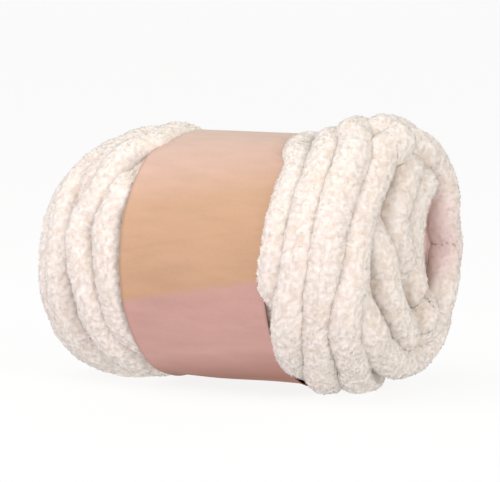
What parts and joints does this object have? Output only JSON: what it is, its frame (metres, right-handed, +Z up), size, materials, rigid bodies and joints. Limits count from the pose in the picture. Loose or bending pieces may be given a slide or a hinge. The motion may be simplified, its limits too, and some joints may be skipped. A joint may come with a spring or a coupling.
{
  "type": "skein of jumbo chenille yarn with a paper band",
  "caption": "Cross-wound skein of thick, soft chenille knitting yarn lying on its side, with swollen ends, a hollow in each end and a plain paper band round its waist.",
  "frame": {"origin": "middle of the skein's length and width, on the surface that it rests on", "axes": "+X along the skein towards its right end, -Y towards its front, +Z up"},
  "size_m": [0.2248, 0.1505, 0.1526],
  "materials": {
    "chenille_yarn": "cream velvety pile, matte with a soft sheen",
    "kraft_paper": "uncoated, lightly creased, matte"
  },
  "bodies": {
    "root": {"winding": "chenille_yarn", "paper_band": "kraft_paper"}
  },
  "joints": []
}
